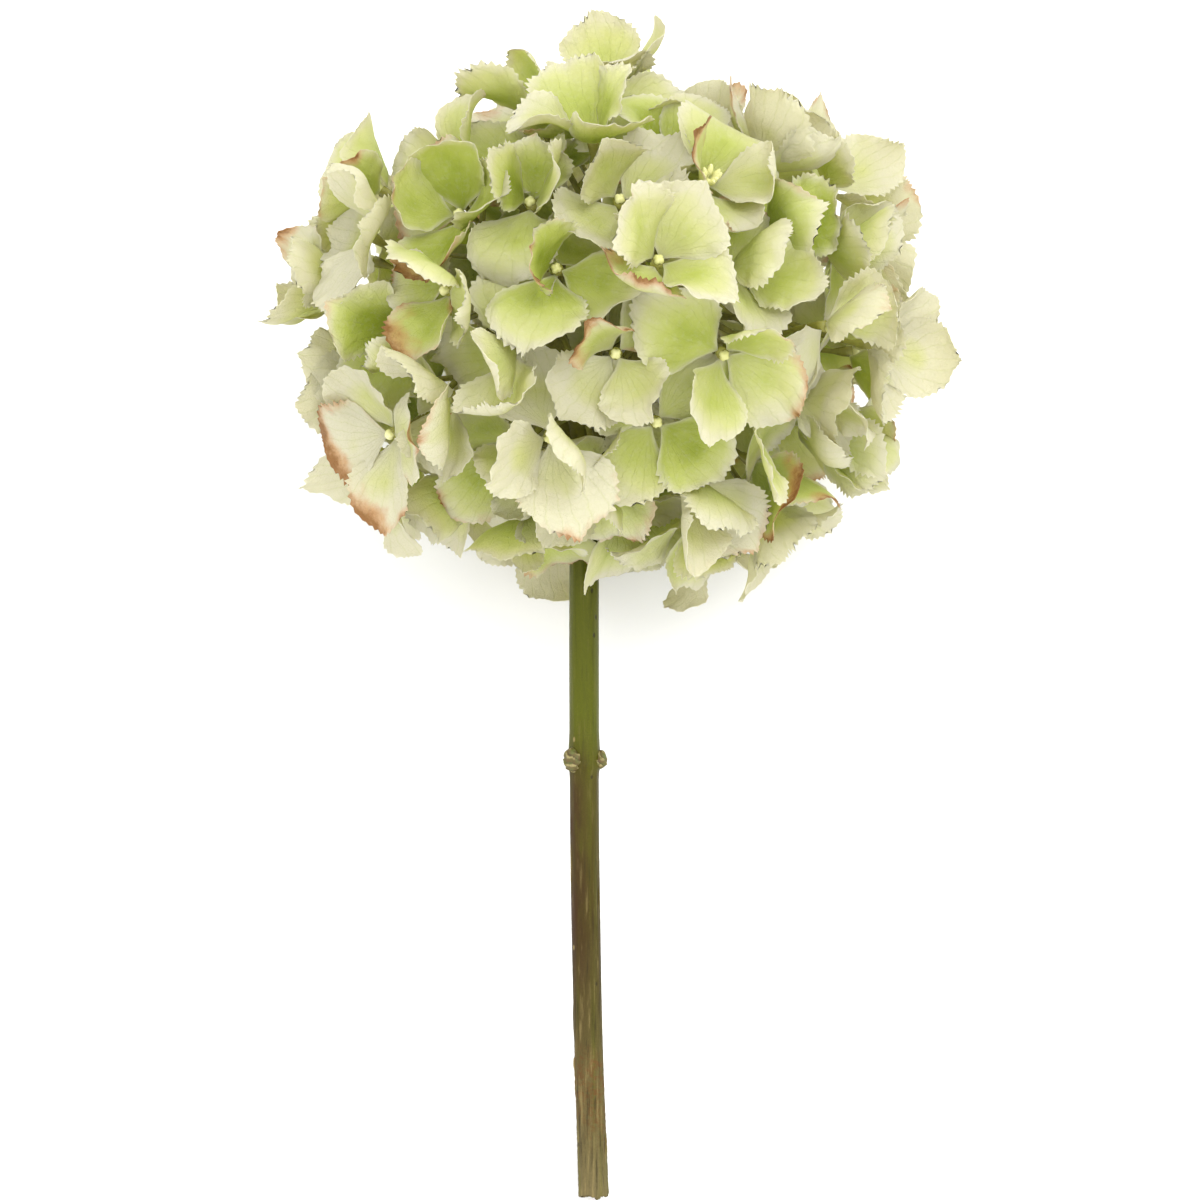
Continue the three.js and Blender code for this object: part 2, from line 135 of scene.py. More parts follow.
def smooth(low, high, value):
    share = np.clip((value - low) / (high - low), 0, 1)
    return share * share * (3 - 2 * share)


# the head's own axes: across the stem, along it towards the head, up out of the ground
lieAngle = math.asin((head["centreHeight"] - shoot["radius"]) / shoot["headToCut"])
across = np.array((1.0, 0, 0))
along = np.array((0, math.cos(lieAngle), math.sin(lieAngle)))
above = np.array((0, -math.sin(lieAngle), math.cos(lieAngle)))
axes = np.array((across, along, above))


def stemSpot(depth):
    late = np.maximum(0, (depth - shoot["bendStart"]) / (shoot["headToCut"] - shoot["bendStart"]))
    place = np.array((shoot["shift"] + shoot["bend"] * late * late, -depth, 0))
    return headCentre + place @ axes


# the frame stands on its own box, so the head's centre is read back from the top of its stem
headCentre = np.zeros(3)
stemSpots = spotsOf(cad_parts["stem"].data) / mm
reach = stemSpots @ along
topRing = np.unique(np.round(stemSpots[reach > reach.max() - 0.3], 3), axis=0)
headCentre = topRing.mean(0) - stemSpot(shoot["knobDepth"] - shoot["knobRadius"])
print("head centre, mm:", headCentre.round(2))


# where the florets sit
def headRadius(direction):
    x, y, z = direction
    wide = head["halfWidth"]
    oval = 1 / math.hypot(math.hypot(x / wide, y / head["halfLength"]), z / wide)
    around = math.degrees(math.atan2(y, x))
    dent = 0
    for at, depth, spread in head["hollows"]:
        off = ((around - at + 900) % 360 - 180) / spread
        dent += depth * math.exp(-off * off)
    return oval - dent * (1 - z * z) ** 2


def floretDirections():
    golden = math.pi * (3 - math.sqrt(5))
    pairs = head["pairs"]
    lowest = -math.cos(math.radians(head["bareCap"]))
    spacing = math.sqrt(2 * math.pi * (1 - lowest) / (2 * pairs))
    spots = []
    for pair in range(pairs):
        height = 1 - (pair + 0.5) / pairs * (1 - lowest)
        ring = math.sqrt(1 - height * height)
        turn = pair * golden
        middle = np.array((ring * math.cos(turn), height, ring * math.sin(turn)))
        side = turnAbout(sideways(middle), middle, between(pair, 1, 0, math.pi))
        spots += [unit(middle + side * sign * spacing * head["pairGap"]) for sign in (-1, 1)]
    spots = np.array(spots)
    order = np.arange(len(spots))
    reach = spacing * head["reach"]
    for _ in range(head["rounds"]):
        away = spots[:, None] - spots[None]
        apart = np.linalg.norm(away, axis=2)
        np.fill_diagonal(apart, 9)
        away /= apart[:, :, None]
        push = np.where(apart < reach, (reach - apart) * head["push"], 0)
        tied = order[None] == (order[:, None] ^ 1)
        push += np.where(tied & (apart > spacing), (spacing - apart) * head["pull"], 0)
        spots = spots + (away * push[:, :, None]).sum(1)
        spots /= np.linalg.norm(spots, axis=1)[:, None]
        low = spots[:, 1] < lowest
        spots[low, 1] = lowest
        spots /= np.linalg.norm(spots, axis=1)[:, None]
    return spots


def makeFlorets():
    florets = []
    for i, direction in enumerate(floretDirections()):
        outward = direction @ axes
        layer = head["layers"][int(chance(i, 5) * 3)]
        far = headRadius(direction) - layer
        if outward[2] < 0:
            far = min(far, (head["centreHeight"] - head["floorRoom"]) / -outward[2])
        lean = math.tan(math.radians(between(i, 6, 0, head["lean"])))
        side = turnAbout(sideways(outward), outward, between(i, 7, 0, 2 * math.pi))
        axis = unit(outward + side * lean)
        first = turnAbout(sideways(axis), axis, between(i, 8, 0, math.pi / 2))
        florets.append({"i": i, "centre": headCentre + outward * far, "axis": axis,
                        "first": first, "layer": layer})
    return florets


# one petal, as the frame shapes it
petal = {
    "length": 22.5, "width": 24, "innerShare": 0.88, "seatHalfWidth": 1.5, "seatStorey": 1,
    "tiltStep": 6, "tries": 25, "steepest": 86, "outerSteepest": 62, "flattest": -62,
    "swings": (0, 9, -9), "sizes": (1, 0.86, 0.74, 0.62),
    "lengths": (0.88, 1.12), "widths": (0.9, 1.12), "innerTilts": (16, 58), "outerTilts": (4, 44),
    "bends": (-30, 42), "cups": (0.3, 4.2), "curls": (-3.5, 5), "twists": (-22, 22),
    # a fit closer than this, in mm over five rim points, is the right one
    "goodFit": 1.6, "farMiss": 3,
    # from here only the finer look: grid and wall, teeth, pleats, and how it rests on the ground
    "cells": 20, "wall": 0.34, "grown": 1.05, "tooth": 0.8, "pleats": 0.2,
    "rest": 0.3, "press": 0.8,
    # greener from floret to floret, greener in the lower layers as painted shade deep in the head, and
    # towards the head's left side
    "greenness": (0.02, 0.5), "deepShadeGreen": 0.03, "leftGreen": 0.0022, "leftStart": 20, "toneSpread": 0.14,
    # share of petals with no flush, and the share up to which it is slight
    "plainShare": 0.54, "slightShare": 0.86, "slightFlush": (0.05, 0.5), "fullFlush": (0.5, 1),
}


def makePetal(floret, k):
    code = floret["i"] * 4 + k
    inner = k % 2 == 0
    out = turnAbout(floret["first"], floret["axis"], k * math.pi / 2)
    root = floret["centre"] + out * petal["seatHalfWidth"]
    root = root + floret["axis"] * (petal["seatStorey"] if inner else 0)
    return {
        "code": code, "root": root, "out": out, "axis": floret["axis"],
        "length": petal["length"] * between(code, 1, *petal["lengths"]),
        "width": petal["width"] * between(code, 2, *petal["widths"]) * (petal["innerShare"] if inner else 1),
        "restTilt": between(code, 3, *petal["innerTilts" if inner else "outerTilts"]),
        "steepest": petal["steepest"] if inner else petal["outerSteepest"],
        "bend": math.radians(between(code, 4, *petal["bends"])),
        "cup": between(code, 9, *petal["cups"]),
        "curl": between(code, 10, *petal["curls"]),
        "twist": math.radians(between(code, 11, *petal["twists"])),
    }


def hold(p, tilt, swing, size):
    p["tilt"], p["size"] = math.radians(tilt), size
    p["ahead"] = turnAbout(p["out"], p["axis"], math.radians(swing))
    p["side"] = np.cross(p["axis"], p["ahead"])
    return p


def halfWidth(p, s):
    return p["size"] * p["width"] * np.sin(np.pi * np.clip(s, 0, 1) ** 1.16) ** 0.7 / 2


def onPetal(p, s, lateral):
    # s runs from root to tip, lateral in mm from the midrib
    lean = p["tilt"] + p["bend"] * s
    bendRadius = p["size"] * p["length"] / p["bend"]
    outRun = bendRadius * (np.sin(lean) - math.sin(p["tilt"]))
    upRun = bendRadius * (math.cos(p["tilt"]) - np.cos(lean))
    off = p["cup"] * (2 * lateral / p["width"]) ** 2 + p["curl"] * (np.maximum(0, s - 0.5) * 2) ** 2
    turn = p["twist"] * s
    sideRun = lateral * np.cos(turn) - off * np.sin(turn)
    offRun = lateral * np.sin(turn) + off * np.cos(turn)
    forward = outRun - offRun * np.sin(lean)
    upward = upRun + offRun * np.cos(lean)
    return (p["root"] + forward[:, None] * p["ahead"] + upward[:, None] * p["axis"]
            + sideRun[:, None] * p["side"])


def settle(p, nodeSpots):
    # the hold whose outline lies on the frame's own petal
    s = np.array((0.62, 0.88, 1, 0.88, 0.62))
    t = np.array((-1, -1, 0, 1, 1))
    best = (1e9,)
    for size in petal["sizes"]:
        for attempt in range(petal["tries"]):
            step = math.ceil(attempt / 2) * (1 if attempt % 2 else -1)
            degrees = p["restTilt"] + step * petal["tiltStep"]
            if degrees > p["steepest"] or degrees < petal["flattest"]:
                continue
            for swing in petal["swings"]:
                hold(p, degrees, swing, size)
                lateral = t * np.where(s < 1, halfWidth(p, s), 0)
                rim = onPetal(p, s, lateral)
                gaps = np.linalg.norm(rim[:, None] - nodeSpots[None], axis=2).min(1)
                miss = np.minimum(gaps, petal["farMiss"]).sum()
                if miss < best[0]:
                    best = (miss, degrees, swing, size)
                if miss < petal["goodFit"]:
                    return hold(p, degrees, swing, size)
    return hold(p, *best[1:])


florets = makeFlorets()
for floret in florets:
    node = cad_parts[f"floret_pair_{floret['i'] // 2 + 1:02d}"]
    nodeSpots = spotsOf(node.data) / mm
    floret["petals"] = [makePetal(floret, k) for k in range(4)]
    for p in floret["petals"]:
        settle(p, nodeSpots)
print("petals settled:", 4 * len(florets))


# materials
def newMaterial(name):
    material = bpy.data.materials.new(name)
    material.use_nodes = True
    tree = material.node_tree
    tree.nodes.clear()
    return material, tree


def add(tree, kind, inputs=None, **settings):
    node = tree.nodes.new("ShaderNode" + kind)
    for key, value in settings.items():
        setattr(node, key, value)
    for key, value in (inputs or {}).items():
        socket = node.inputs[key]
        if isinstance(value, bpy.types.NodeSocket):
            tree.links.new(value, socket)
        else:
            socket.default_value = value
    return node


def maths(tree, operation, a, b=0.5):
    return add(tree, "Math", {0: a, 1: b}, operation=operation).outputs[0]


def ramp(tree, factor, stops):
    node = add(tree, "ValToRGB", {"Fac": factor})
    band = node.color_ramp
    while len(band.elements) < len(stops):
        band.elements.new(0.5)
    for element, (place, colour) in zip(band.elements, stops):
        element.position = place
        element.color = (*colour, 1)
    return node.outputs["Color"]


def blend(tree, factor, a, b, kind="MIX"):
    node = add(tree, "Mix", {"Factor": factor}, data_type="RGBA", blend_type=kind)
    for socket, value in ((node.inputs[6], a), (node.inputs[7], b)):
        if isinstance(value, bpy.types.NodeSocket):
            tree.links.new(value, socket)
        else:
            socket.default_value = (*value, 1)
    return node.outputs[2]


def spread(tree, value, low, high, outLow=0.0, outHigh=1.0):
    node = add(tree, "MapRange", {"Value": value, "From Min": low, "From Max": high,
                                  "To Min": outLow, "To Max": outHigh}, interpolation_type="SMOOTHSTEP")
    return node.outputs["Result"]


def noise(tree, where, scale, detail=3.0, rough=0.55):
    return add(tree, "TexNoise", {"Vector": where, "Scale": scale, "Detail": detail,
                                  "Roughness": rough}).outputs["Fac"]


def grey(tree, value):
    return add(tree, "CombineColor", {0: value, 1: value, 2: value}).outputs[0]


def bumps(tree, look, height):
    return add(tree, "Bump", {"Strength": look["bump"], "Distance": look["bumpDepth"],
                              "Height": height}).outputs["Normal"]


def attribute(tree, name):
    return add(tree, "Attribute", attribute_name=name).outputs["Fac"]


def shade(r, g, b):
    # a colour as seen, made linear
    return tuple(((c / 255) / 12.92 if c <= 10 else ((c / 255 + 0.055) / 1.055) ** 2.4) for c in (r, g, b))


petalFinish = {
    "heart": shade(176, 190, 62), "green": shade(207, 215, 114), "pale": shade(225, 226, 167),
    "cream": shade(231, 228, 205), "edge": shade(235, 232, 214), "blush": shade(214, 167, 106),
    "brown": shade(164, 114, 56), "back": shade(225, 224, 188),
    "roughness": 0.46, "specular": 0.42, "through": 0.5,
    # sizes of the patterns on one petal, from broad clouds to fine grain, and how many veins fan out
    "cloud": 1.7, "blotch": 4.5, "mottle": 16.0, "grain": 75.0, "veins": 19.0, "net": 22.0,
    "bump": 0.62, "bumpDepth": 0.0006,
    # where the cream margin, the flush and the scorch start and are full, and how strong they get
    "marginAt": (0.78, 1.12), "flushAt": (1.16, 1.84), "scorchAt": (1.78, 2.25),
    "margin": 0.85, "flush": 0.82, "scorch": 0.85, "vein": 0.2, "speckle": 0.16,
}


def makePetalMaterial():
    material, tree = newMaterial("petalSkin")
    look = petalFinish

    def plus(*values):
        total = values[0]
        for value in values[1:]:
            total = maths(tree, "ADD", total, value)
        return total

    def times(a, b):
        return maths(tree, "MULTIPLY", a, b)

    def swing(value, size):
        return times(maths(tree, "SUBTRACT", value, 0.5), size)

    flatPlace = add(tree, "UVMap", uv_map="petalMap").outputs["UV"]
    parts = add(tree, "SeparateXYZ", {"Vector": flatPlace})
    acrossPetal, up = parts.outputs["X"], parts.outputs["Y"]
    fromMiddle = add(tree, "VectorMath", {0: flatPlace, 1: (0.5, 0.5, 0)}, operation="SUBTRACT").outputs[0]
    edgeward = times(add(tree, "VectorMath", {0: fromMiddle}, operation="LENGTH").outputs["Value"], 2.0)
    tone, blushAmount, seed, under = (attribute(tree, name) for name in ("tone", "blush", "seed", "under"))
    # every petal lies in its own patch of the noise
    patch = add(tree, "CombineXYZ", {"X": acrossPetal, "Y": up, "Z": times(seed, 37.0)}).outputs[0]
    cloud = noise(tree, patch, look["cloud"], 2.0)
    blotch = noise(tree, patch, look["blotch"], 4.0, 0.6)
    mottle = noise(tree, patch, look["mottle"], 4.0, 0.6)
    grain = noise(tree, patch, look["grain"], 2.0, 0.6)

    # veins fan out from the root, with a fine net between them
    angle = maths(tree, "ARCTAN2", maths(tree, "SUBTRACT", acrossPetal, 0.5), plus(up, 0.14))
    fan = times(plus(angle, swing(cloud, 0.35), swing(blotch, 0.12)), look["veins"])
    gap = maths(tree, "ABSOLUTE", maths(tree, "SINE", fan))
    vein = maths(tree, "POWER", maths(tree, "SUBTRACT", 1.0, gap), 6.0)
    net = add(tree, "TexVoronoi", {"Vector": patch, "Scale": look["net"]},
              feature="DISTANCE_TO_EDGE").outputs["Distance"]
    veins = plus(times(vein, 0.8), spread(tree, net, 0.0, 0.06, 0.4, 0.0))

    # green heart, pale blade, cream margin; greener or creamier from petal to petal
    greenness = plus(times(tone, 1.25), times(edgeward, -0.42), times(up, -0.62), swing(cloud, 0.7), 0.34)
    body = ramp(tree, greenness, ((0.02, look["cream"]), (0.33, look["pale"]),
                                  (0.72, look["green"]), (1.0, look["heart"])))
    marginward = plus(edgeward, swing(blotch, 0.3), times(up, 0.12))
    body = blend(tree, spread(tree, marginward, *look["marginAt"], 0.0, look["margin"]), body, look["cream"])
    body = blend(tree, times(veins, look["vein"]), body, look["green"])
    body = blend(tree, spread(tree, mottle, 0.45, 0.75, 0.0, look["speckle"]), body, look["edge"])
    body = blend(tree, times(under, 0.16), body, look["back"])
    # a thin pale line along the very rim: partly the thin margin's own paler colour, partly painted
    # highlight
    body = blend(tree, spread(tree, edgeward, 0.955, 0.995, 0.0, 0.4), body, look["edge"])

    # dried pink-brown flush that creeps in from one part of the rim
    creep = plus(edgeward, times(up, 0.7), swing(cloud, 2.0), swing(blotch, 0.9),
                 times(blushAmount, 0.75), -0.5)
    flushed = spread(tree, blushAmount, 0.02, 0.15)
    flush = times(spread(tree, creep, *look["flushAt"]), flushed)
    body = blend(tree, times(flush, look["flush"]), body, look["blush"])
    further = plus(creep, times(edgeward, 0.3), swing(mottle, 0.6))
    scorch = times(spread(tree, further, *look["scorchAt"]), flushed)
    body = blend(tree, times(scorch, look["scorch"]), body, look["brown"])
    body = blend(tree, 0.05, body, grey(tree, grain), "OVERLAY")

    height = plus(times(veins, -0.4), times(mottle, 0.7), times(grain, 0.15), times(blotch, 0.8))
    bump = bumps(tree, look, height)
    rough = spread(tree, mottle, 0.3, 0.7, look["roughness"] - 0.07, look["roughness"] + 0.1)
    skin = add(tree, "BsdfPrincipled", {"Base Color": body, "Roughness": rough, "Normal": bump,
                                        "Specular IOR Level": look["specular"]})
    deeper = add(tree, "Gamma", {"Color": body, "Gamma": 1.5}).outputs[0]
    glow = add(tree, "BsdfTranslucent", {"Color": deeper, "Normal": bump})
    mixed = add(tree, "MixShader", {0: look["through"], 1: skin.outputs[0], 2: glow.outputs[0]})
    add(tree, "OutputMaterial", {"Surface": mixed.outputs[0]})
    return material


stalkFinish = {
    # young colour, old colour, roughness
    "stalkSkin": (shade(148, 148, 62), shade(112, 106, 38), 0.5),
    "eyeSkin": (shade(229, 227, 172), shade(200, 199, 124), 0.42),
    "raySkin": (shade(130, 128, 44), shade(98, 90, 34), 0.55),
    "patches": 260.0, "fine": 1900.0, "bump": 0.3, "bumpDepth": 0.0003,
}


def makeStalkMaterial(name):
    # young green skin, darker and browner in patches
    look = stalkFinish
    young, old, roughness = look[name]
    material, tree = newMaterial(name)
    where = add(tree, "TexCoord").outputs["Object"]
    patches = noise(tree, where, look["patches"], 4.0)
    fine = noise(tree, where, look["fine"], 3.0)
    body = ramp(tree, patches, ((0.3, young), (0.72, old)))
    body = blend(tree, 0.14, body, grey(tree, fine), "OVERLAY")
    bump = bumps(tree, look, fine)
    skin = add(tree, "BsdfPrincipled", {"Base Color": body, "Roughness": roughness, "Normal": bump})
    add(tree, "OutputMaterial", {"Surface": skin.outputs[0]})
    return material


petalSkin = makePetalMaterial()
stalkSkin = makeStalkMaterial("stalkSkin")
eyeSkin = makeStalkMaterial("eyeSkin")
raySkin = makeStalkMaterial("raySkin")
print("petal, stalk and eye materials made")


# the flat petal: one thin closed plate that every petal is a reshaped copy of
def makeFlatPetal():
    cells = petal["cells"]
    deselect()
    bpy.ops.mesh.primitive_grid_add(x_subdivisions=cells, y_subdivisions=cells, size=2)
    plate = bpy.context.object
    plate.name = "flatPetal"
    wall = plate.modifiers.new("wall", "SOLIDIFY")
    wall.thickness, wall.offset = 1, 0
    bpy.ops.object.modifier_apply(modifier="wall")
    spots = spotsOf(plate.data)
    x, y = spots[:, 0], spots[:, 1]
    disc = np.stack((x * np.sqrt(1 - y * y / 2), y * np.sqrt(1 - x * x / 2)), 1)
    corners = np.zeros(len(plate.data.loops), dtype=np.int32)
    plate.data.loops.foreach_get("vertex_index", corners)
    plate.data.uv_layers[0].name = "petalMap"
    putMap(plate, "petalMap", np.stack((0.5 + disc[corners, 1] / 2, 0.5 + disc[corners, 0] / 2), 1))
    # on the baking map the front and the back are two discs, with the rim round the front one
    back = spots[corners, 2] < 0
    cornerIndex = np.arange(len(corners))
    onRim = cornerIndex >= 2 * cells * cells * 4
    spin = np.where(onRim & back, 1.03, 1)[:, None] * disc[corners] * 0.47
    tile = np.where(back & ~onRim, 1, 0)
    putMap(plate, "bakeMap", np.stack((0.5 + spin[:, 0] + tile, 0.5 + spin[:, 1]), 1))
    bpy.ops.object.shade_smooth_by_angle(angle=math.radians(60))
    plate.data.materials.append(petalSkin)
    for name in ("tone", "blush", "seed"):
        giveValues(plate, name, np.zeros(len(spots)))
    giveValues(plate, "under", spots[:, 2] < 0)
    line = np.linspace(-1, 1, cells + 1)
    gridX, gridY = np.meshgrid(line, line, indexing="ij")
    i = np.round((x + 1) / 2 * cells).astype(int)
    j = np.round((y + 1) / 2 * cells).astype(int)
    order = np.arange(cells + 1)
    rim = np.maximum(np.abs(gridX), np.abs(gridY)) > 0.999
    parity = (order[:, None] + order[None]) % 2 * 2 - 1
    return plate, {"a": gridX * np.sqrt(1 - gridY ** 2 / 2), "b": gridY * np.sqrt(1 - gridX ** 2 / 2),
                   "rim": rim, "parity": parity, "number": order[:, None] * 37 + order[None],
                   "i": i, "j": j, "z": spots[:, 2]}


def putMap(piece, name, places):
    layers = piece.data.uv_layers
    layer = layers.get(name) or layers.new(name=name)
    layer.data.foreach_set("uv", places.astype(np.float32).ravel())


def getMap(piece, name):
    layer = piece.data.uv_layers[name]
    places = np.zeros(len(layer.data) * 2, dtype=np.float32)
    layer.data.foreach_get("uv", places)
    return places.reshape(-1, 2)


flatPetal, flat = makeFlatPetal()

# what every petal draws its own outline, rolls, frills and creases from
petalRanges = {
    "anyTurn": (0, 6.28), "lobe": (0.2, 1), "toothWaves": (1, 3), "toothSize": (0.35, 1.15),
    "tip": (-0.03, 0.075), "rollStart": (2.5, 7.5), "rollCurve": (-0.13, 0.19), "rollShare": (0.2, 1.2),
    "tipStart": (0.5, 0.8), "tipCurve": (-0.15, 0.17), "tipShare": (0.1, 1.3), "crease": (-0.14, 0.3),
    "frill": (0.3, 1.5), "frillWaves": (2.2, 4.6), "fineFrill": (0.15, 0.6), "fineFrillWaves": (7, 12),
    "crumpleAcross": (0.25, 0.6), "crumpleAlong": (4, 11),
}
# number of waves round the rim and how deep they are
petalLobes = ((2, 0.06), (3, 0.045), (5, 0.03), (7, 0.016))
straightest = 0.004


def roll(distance, start, curve):
    # what lies past start is wound onto a curve; gives the place along and the lift
    past = np.maximum(0, distance - start)
    return np.minimum(distance, start) + np.sin(curve * past) / curve, (1 - np.cos(curve * past)) / curve


def awayFromZero(value):
    return math.copysign(max(abs(value), straightest), value)


def petalSpots(p):
    code, length = p["code"], p["size"] * p["length"]

    def draw(j, name):
        return between(code, j, *petalRanges[name])

    a, b = flat["a"], flat["b"]
    rho, phi = np.hypot(a, b), np.arctan2(b, a)
    s = (1 + a) / 2
    fade = smooth(0.1, 0.42, s)

    # outline: claw, broad blade, uneven lobes, point or notch at the tip, fine teeth
    wave = sum(draw(20 + n, "lobe") * size * np.sin(n * phi + draw(24 + n, "anyTurn"))
               for n, size in petalLobes)
    grow = 1 + fade * rho ** 2 * wave
    wild = chances(flat["number"], code)
    stretch = 0.35 + 0.65 * np.sin(phi * draw(45, "toothWaves") + draw(46, "anyTurn")) ** 2
    tooth = petal["tooth"] * draw(47, "toothSize") * stretch * flat["parity"] * (0.3 + wild)
    grow = grow + flat["rim"] * fade * tooth / (0.5 * length)
    tip = draw(30, "tip") * np.exp(-(phi / 0.26) ** 2) * rho ** 3
    chord = np.sqrt(np.maximum(1e-6, 1 - a * a))
    claw = 0.5 + 0.5 * smooth(0, 0.3, s)
    lateral = np.where(np.abs(a) > 0.998, 0, b / chord * halfWidth(p, s) * claw) * petal["grown"] * grow
    s = (0.5 + (s - 0.5) * grow + tip) * petal["grown"]

    # rolled side edges and tip
    sign = np.sign(lateral)
    rightStart, leftStart = draw(50, "rollStart"), draw(51, "rollStart")
    rightCurve = awayFromZero(draw(52, "rollCurve") * draw(58, "rollShare"))
    leftCurve = awayFromZero(draw(53, "rollCurve") * draw(59, "rollShare"))
    rightAcross, rightLift = roll(np.abs(lateral), rightStart, rightCurve)
    leftAcross, leftLift = roll(np.abs(lateral), leftStart, leftCurve)
    rolledAcross = sign * np.where(sign > 0, rightAcross, leftAcross)
    lift = np.where(sign > 0, rightLift, leftLift)
    tipCurve = awayFromZero(draw(54, "tipCurve") * draw(57, "tipShare"))
    reached, tipLift = roll(s * length, length * draw(55, "tipStart"), tipCurve)
    crease = draw(56, "crease")
    lift = lift * fade + tipLift + crease * (np.sqrt(lateral ** 2 + 1.5) - 1.22) * fade

    # frilled rim, slight crumple and the fan of vein pleats
    frill = rho ** 3 * fade * (
        draw(31, "frill") * np.sin(draw(32, "frillWaves") * phi + draw(33, "anyTurn"))
        + draw(34, "fineFrill") * np.sin(draw(35, "fineFrillWaves") * phi + draw(36, "anyTurn")))
    crumple = (0.35 * np.sin(lateral * draw(60, "crumpleAcross") + draw(61, "anyTurn"))
               * np.sin(s * draw(62, "crumpleAlong") + draw(63, "anyTurn")) * fade)
    fan = np.arctan2(lateral, s * length + 4)
    pleat = petal["pleats"] * rho * fade * np.sin(fan * 21 + code)
    middle = place(p, reached / length, rolledAcross, lift + (frill + crumple) * p["size"] + pleat)
    # petals under the head lie pressed on the ground
    soft = petal["press"]
    middle[..., 2] = petal["rest"] + soft * np.logaddexp(0, (middle[..., 2] - petal["rest"]) / soft)

    normal = np.cross(np.gradient(middle, axis=0), np.gradient(middle, axis=1))
    normal /= np.maximum(1e-9, np.linalg.norm(normal, axis=2))[:, :, None]
    for end in (0, -1):
        for otherEnd in (0, -1):
            inward = (1 if end == 0 else -2, 1 if otherEnd == 0 else -2)
            normal[end, otherEnd] = normal[inward]
    wall = petal["wall"] * (1 - 0.6 * rho ** 2)
    i, j = flat["i"], flat["j"]
    return middle[i, j] + (flat["z"] * wall[i, j])[:, None] * normal[i, j]


def place(p, s, lateral, lift):
    # on the bent petal, with lift off its surface
    shape = s.shape
    s, lateral, lift = s.ravel(), lateral.ravel(), lift.ravel()
    here = onPetal(p, s, lateral)
    normal = np.cross(onPetal(p, s + 0.01, lateral) - here, onPetal(p, s, lateral + 0.1) - here)
    normal /= np.linalg.norm(normal, axis=1)[:, None]
    return (here + normal * lift[:, None]).reshape(*shape, 3)


# the stalk, seat and eye of a floret
stalk = {
    "sides": 8, "rings": 12, "radius": 0.75, "rootSwell": 0.25, "seatRadius": 1.75, "seatFrom": (0.84, 0.97),
    "seatHeight": 0.9, "neck": 7, "eyeRadius": 1.5, "eyeHeight": 1.8,
    # where the one open floret is, across and along the head, how much facing up counts, its stamens
    "openAt": (38, 36), "openHigh": 0.2, "openFacing": 40, "stamens": 8, "stamenLean": (0.25, 0.75),
    "stamenSize": (0.8, 1.15), "stamenTurn": 2.4, "filament": 6.2, "club": 1.1,
}


def makeFlatStalk():
    # a straight unit rod with rings to bend it by
    deselect()
    bpy.ops.mesh.primitive_cylinder_add(vertices=stalk["sides"], radius=1, depth=2, end_fill_type="TRIFAN")
    rod = bpy.context.object
    bpy.ops.object.mode_set(mode="EDIT")
    for ring in range(1, stalk["rings"]):
        bpy.ops.mesh.select_all(action="SELECT")
        bpy.ops.mesh.bisect(plane_co=(0, 0, -1 + 2 * ring / stalk["rings"]), plane_no=(0, 0, 1))
    bpy.ops.object.mode_set(mode="OBJECT")
    return finishPart(rod, "flatStalk", stalkSkin)


def makeFlatEye():
    # four-part bead with a cross groove
    deselect()
    bpy.ops.mesh.primitive_uv_sphere_add(segments=16, ring_count=8, radius=1)
    bead = bpy.context.object
    spots = spotsOf(bead.data)
    out = np.hypot(spots[:, 0], spots[:, 1])
    groove = np.abs(np.cos(2 * np.arctan2(spots[:, 1], spots[:, 0]))) ** 8 * out
    spots[:, :2] *= (1 - 0.22 * groove)[:, None]
    spots[:, 2] = spots[:, 2] * (0.85 - 0.2 * groove) - 0.2 * np.exp(-(out / 0.3) ** 2) * (spots[:, 2] > 0)
    setSpots(bead.data, spots)
    return finishPart(bead, "flatEye", eyeSkin)


def makeFlatStamen():
    # one club on its thread, standing along z
    deselect()
    bpy.ops.mesh.primitive_uv_sphere_add(segments=8, ring_count=9, radius=1)
    club = bpy.context.object
    spots = spotsOf(club.data)
    height = (spots[:, 2] + 1) / 2
    wide = np.where(height > 0.5, 1, 0.3) * stalk["club"]
    spots[:, :2] *= wide[:, None]
    spots[:, 2] = height * stalk["filament"]
    setSpots(club.data, spots)
    return finishPart(club, "flatStamen", eyeSkin)


def finishPart(part, name, material):
    part.name = name
    part.data.shade_smooth()
    part.data.materials.append(material)
    part.data.uv_layers[0].name = "bakeMap"
    putMap(part, "petalMap", getMap(part, "bakeMap"))
    return part


flatStalk, flatEye, flatStamen = makeFlatStalk(), makeFlatEye(), makeFlatStamen()


def bezier(points, share):
    points = [np.array(p) for p in points]
    share = np.asarray(share)[:, None]
    while len(points) > 1:
        points = [p * (1 - share) + q * share for p, q in zip(points, points[1:])]
    return points[0]


def bendRod(rod, controls, radius):
    flatSpots = spotsOf(rod.data)
    share = (flatSpots[:, 2] + 1) / 2
    here, ahead = bezier(controls, share), bezier(controls, share + 0.01)
    tangent = ahead - here
    tangent /= np.linalg.norm(tangent, axis=1)[:, None]
    second = np.cross(tangent, sideways(unit(controls[-1] - controls[0])))
    second /= np.linalg.norm(second, axis=1)[:, None]
    first = np.cross(second, tangent)
    wide = radius(share)[:, None]
    setSpots(rod.data, (here + wide * (flatSpots[:, :1] * first + flatSpots[:, 1:2] * second)) * mm)


def standAt(part, flatPart, spot, axis, first, size):
    turned = np.array((first, np.cross(axis, first), axis))
    setSpots(part.data, (spot + spotsOf(flatPart.data) * size @ turned) * mm)


def squeezeMap(part, column, row, columns=5, rows=2):
    # moves a part's own baking map into its tile of the floret's
    places = getMap(part, "bakeMap")
    putMap(part, "bakeMap", (places + (column, row)) / (columns, rows))
    part.data.uv_layers["bakeMap"].name = "OFBake"
    return part


